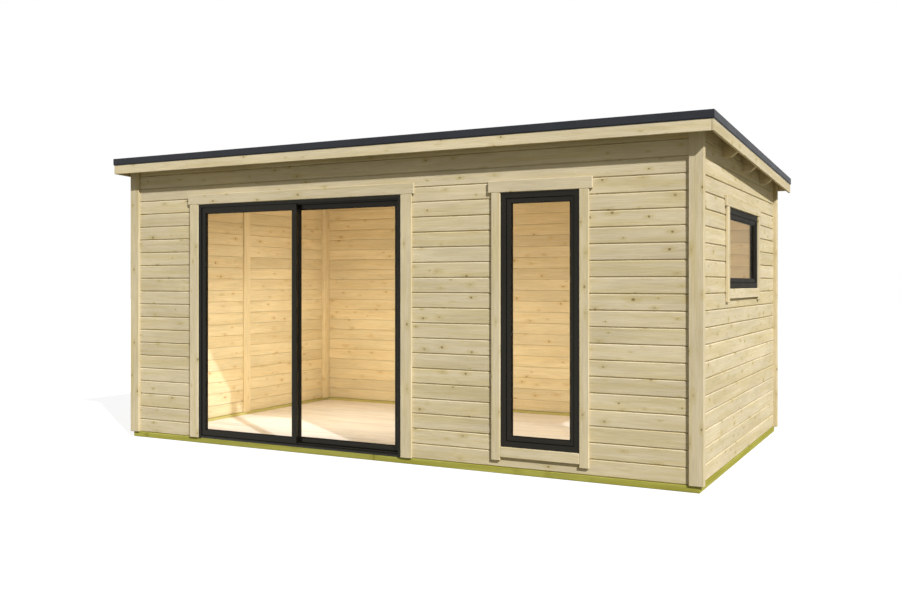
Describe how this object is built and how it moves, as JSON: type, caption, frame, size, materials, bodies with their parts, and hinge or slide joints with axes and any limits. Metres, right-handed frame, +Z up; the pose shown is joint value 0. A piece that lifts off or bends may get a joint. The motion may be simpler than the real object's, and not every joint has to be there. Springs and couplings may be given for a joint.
{
  "type": "garden office pod",
  "caption": "Timber garden office pod: a boarded room under a low sloping roof, with a glazed sliding door, a tall window and a side window.",
  "frame": {"origin": "on the ground, under the middle of the roof", "axes": "+X along the front to the right as seen from the front, +Y from the front to the back, +Z up"},
  "size_m": [5.288, 3.269, 2.4804],
  "materials": {
    "spruce": "sawn and planed spruce with a pale green-yellow treatment",
    "inner_spruce": "planed untreated spruce, warm yellow",
    "treated_bearer": "pressure treated, olive green",
    "floor_board": "pale planed boards",
    "roof_edging": "dark grey powder coat",
    "roofing_sheet": "matt black sheet",
    "dark_frame": "anthracite powder coat",
    "glass": "clear double glazing",
    "roller": "grey nylon"
  },
  "bodies": {
    "pod": {"front_bearer": "treated_bearer", "back_bearer": "treated_bearer", "side_bearers": "treated_bearer", "floor_deck": "floor_board", "front_posts": "spruce", "back_posts": "spruce", "left_wall": "spruce", "right_wall": "spruce", "back_wall": "spruce", "front_wall_left": "spruce", "front_wall_head": "spruce", "front_wall_right": "spruce", "inner_corner_posts": "inner_spruce", "left_wall_batten": "inner_spruce", "purlins": "spruce", "roof_deck": "spruce", "roof_membrane": "roofing_sheet", "front_fascia": "spruce", "back_fascia": "spruce", "side_fascias": "spruce", "front_roof_edge": "roof_edging", "back_roof_edge": "roof_edging", "side_roof_edges": "roof_edging", "door_jambs": "dark_frame", "door_head": "dark_frame", "door_sill": "dark_frame", "fixed_leaf_frame": "dark_frame", "fixed_leaf_glass": "glass", "door_casings": "spruce", "door_head_trim": "spruce", "tall_window_frame": "dark_frame", "tall_window_sash": "dark_frame", "tall_window_glass": "glass", "tall_window_casings": "spruce", "tall_window_head_trim": "spruce", "tall_window_sill_trim": "spruce", "side_window_frame": "dark_frame", "side_window_sash": "dark_frame", "side_window_glass": "glass", "side_window_casings": "spruce", "side_window_head_trim": "spruce", "side_window_sill_trim": "spruce"},
    "sliding_leaf": {"sliding_leaf_frame": "dark_frame", "sliding_leaf_glass": "glass", "sliding_leaf_rollers": "roller"}
  },
  "joints": [
    {"name": "door_slide", "type": "slide", "parent": "pod", "child": "sliding_leaf", "axis": [-1, 0, 0], "range_m": [0, 0.9]}
  ]
}
